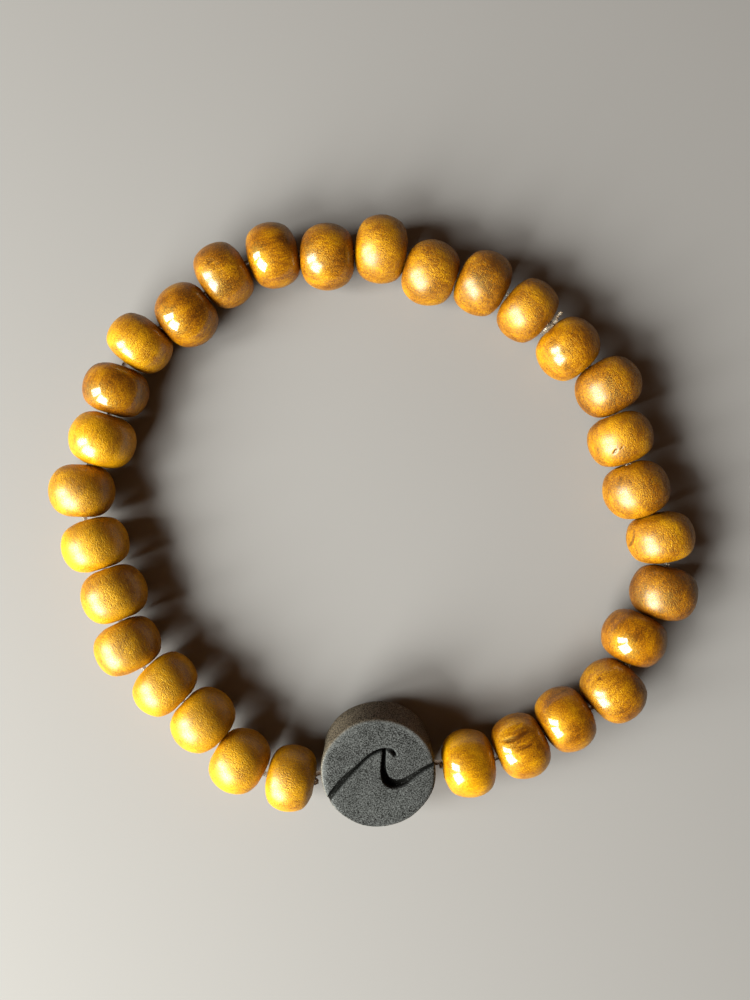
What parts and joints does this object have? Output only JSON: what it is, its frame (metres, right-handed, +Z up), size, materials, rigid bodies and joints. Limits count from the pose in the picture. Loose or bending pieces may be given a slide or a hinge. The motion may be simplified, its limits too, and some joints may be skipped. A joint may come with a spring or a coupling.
{
  "type": "beaded bracelet",
  "caption": "Slack ring of barrel-shaped lacquered wooden beads with one flat round bead carved with a wave, strung on clear elastic and lying flat.",
  "frame": {"origin": "on the table under the middle of the ring", "axes": "+X along the ring's long way, the carved disc at -Y with its carved face up, +Z up from the table"},
  "size_m": [0.0806, 0.0754, 0.0082],
  "materials": {
    "amber_wood": "lacquered, semi-gloss",
    "grey_clay": "matte, fine grit",
    "clear_elastic": "clear, smooth"
  },
  "bodies": {
    "root": {"bead_01": "amber_wood", "bead_02": "amber_wood", "bead_03": "amber_wood", "bead_04": "amber_wood", "bead_05": "amber_wood", "bead_06": "amber_wood", "bead_07": "amber_wood", "bead_08": "amber_wood", "bead_09": "amber_wood", "bead_10": "amber_wood", "bead_11": "amber_wood", "bead_12": "amber_wood", "bead_13": "amber_wood", "bead_14": "amber_wood", "bead_15": "amber_wood", "bead_16": "amber_wood", "bead_17": "amber_wood", "bead_18": "amber_wood", "bead_19": "amber_wood", "bead_20": "amber_wood", "bead_21": "amber_wood", "bead_22": "amber_wood", "bead_23": "amber_wood", "bead_24": "amber_wood", "bead_25": "amber_wood", "bead_26": "amber_wood", "bead_27": "amber_wood", "bead_28": "amber_wood", "bead_29": "amber_wood", "bead_30": "amber_wood", "wave_disc": "grey_clay", "elastic_thread": "clear_elastic", "elastic_knot": "clear_elastic"}
  },
  "joints": []
}
